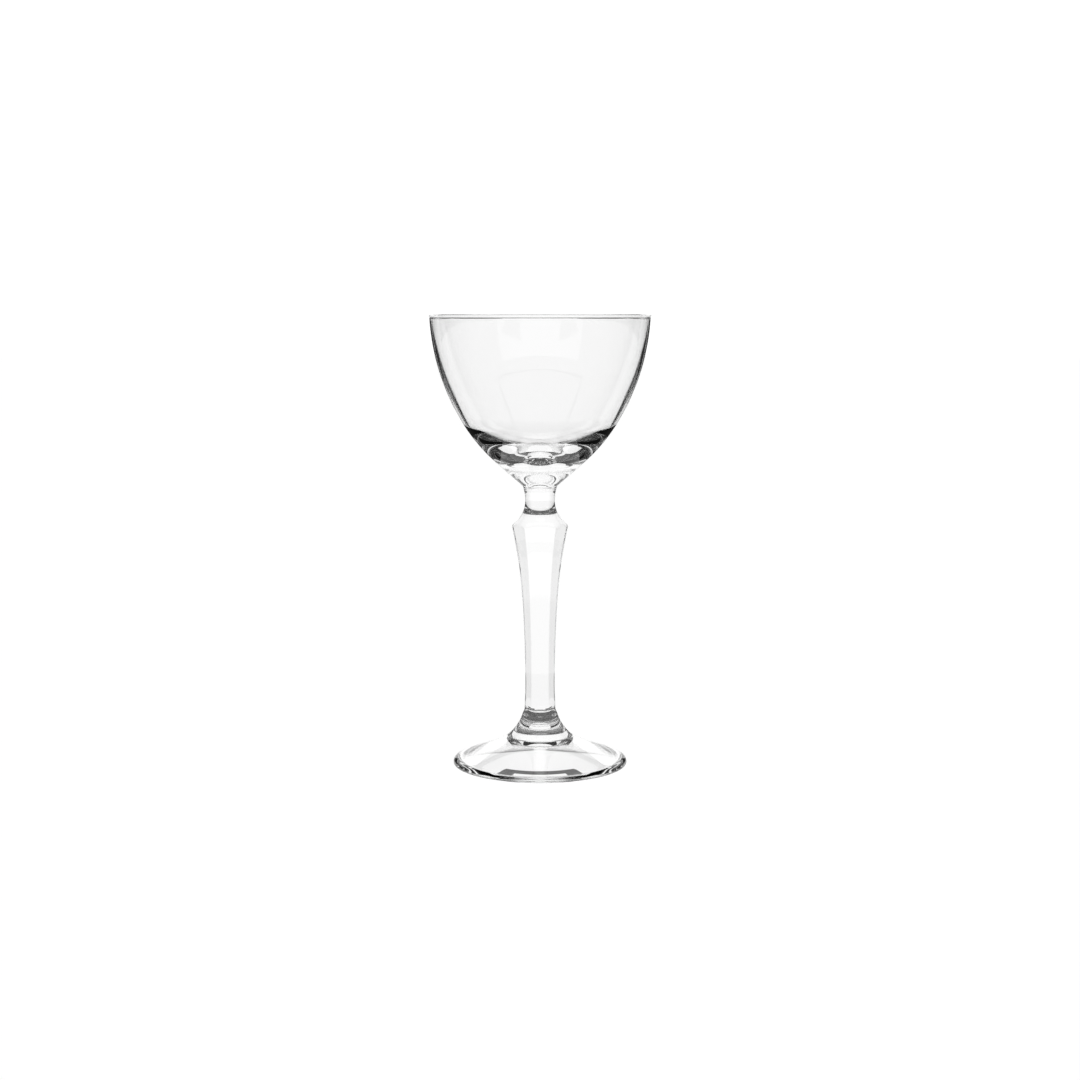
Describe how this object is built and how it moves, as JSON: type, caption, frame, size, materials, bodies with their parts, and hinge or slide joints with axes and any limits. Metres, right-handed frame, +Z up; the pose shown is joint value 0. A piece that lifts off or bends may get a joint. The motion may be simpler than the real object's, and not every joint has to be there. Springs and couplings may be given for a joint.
{
  "type": "stemmed cocktail glass",
  "caption": "Clear stemmed cocktail glass: small deep bowl with a fire-polished lip, waisted neck, faceted pressed stem and round foot.",
  "frame": {"origin": "centre of the ring under the foot, on the table", "axes": "+Z up along the glass's axis, with a facet of the stem facing -Y and stem corners on X"},
  "size_m": [0.0782, 0.0782, 0.1607],
  "materials": {
    "clear_glass": "fire-polished clear soda-lime glass"
  },
  "bodies": {
    "root": {"bowl": "clear_glass", "stem": "clear_glass", "foot": "clear_glass"}
  },
  "joints": []
}
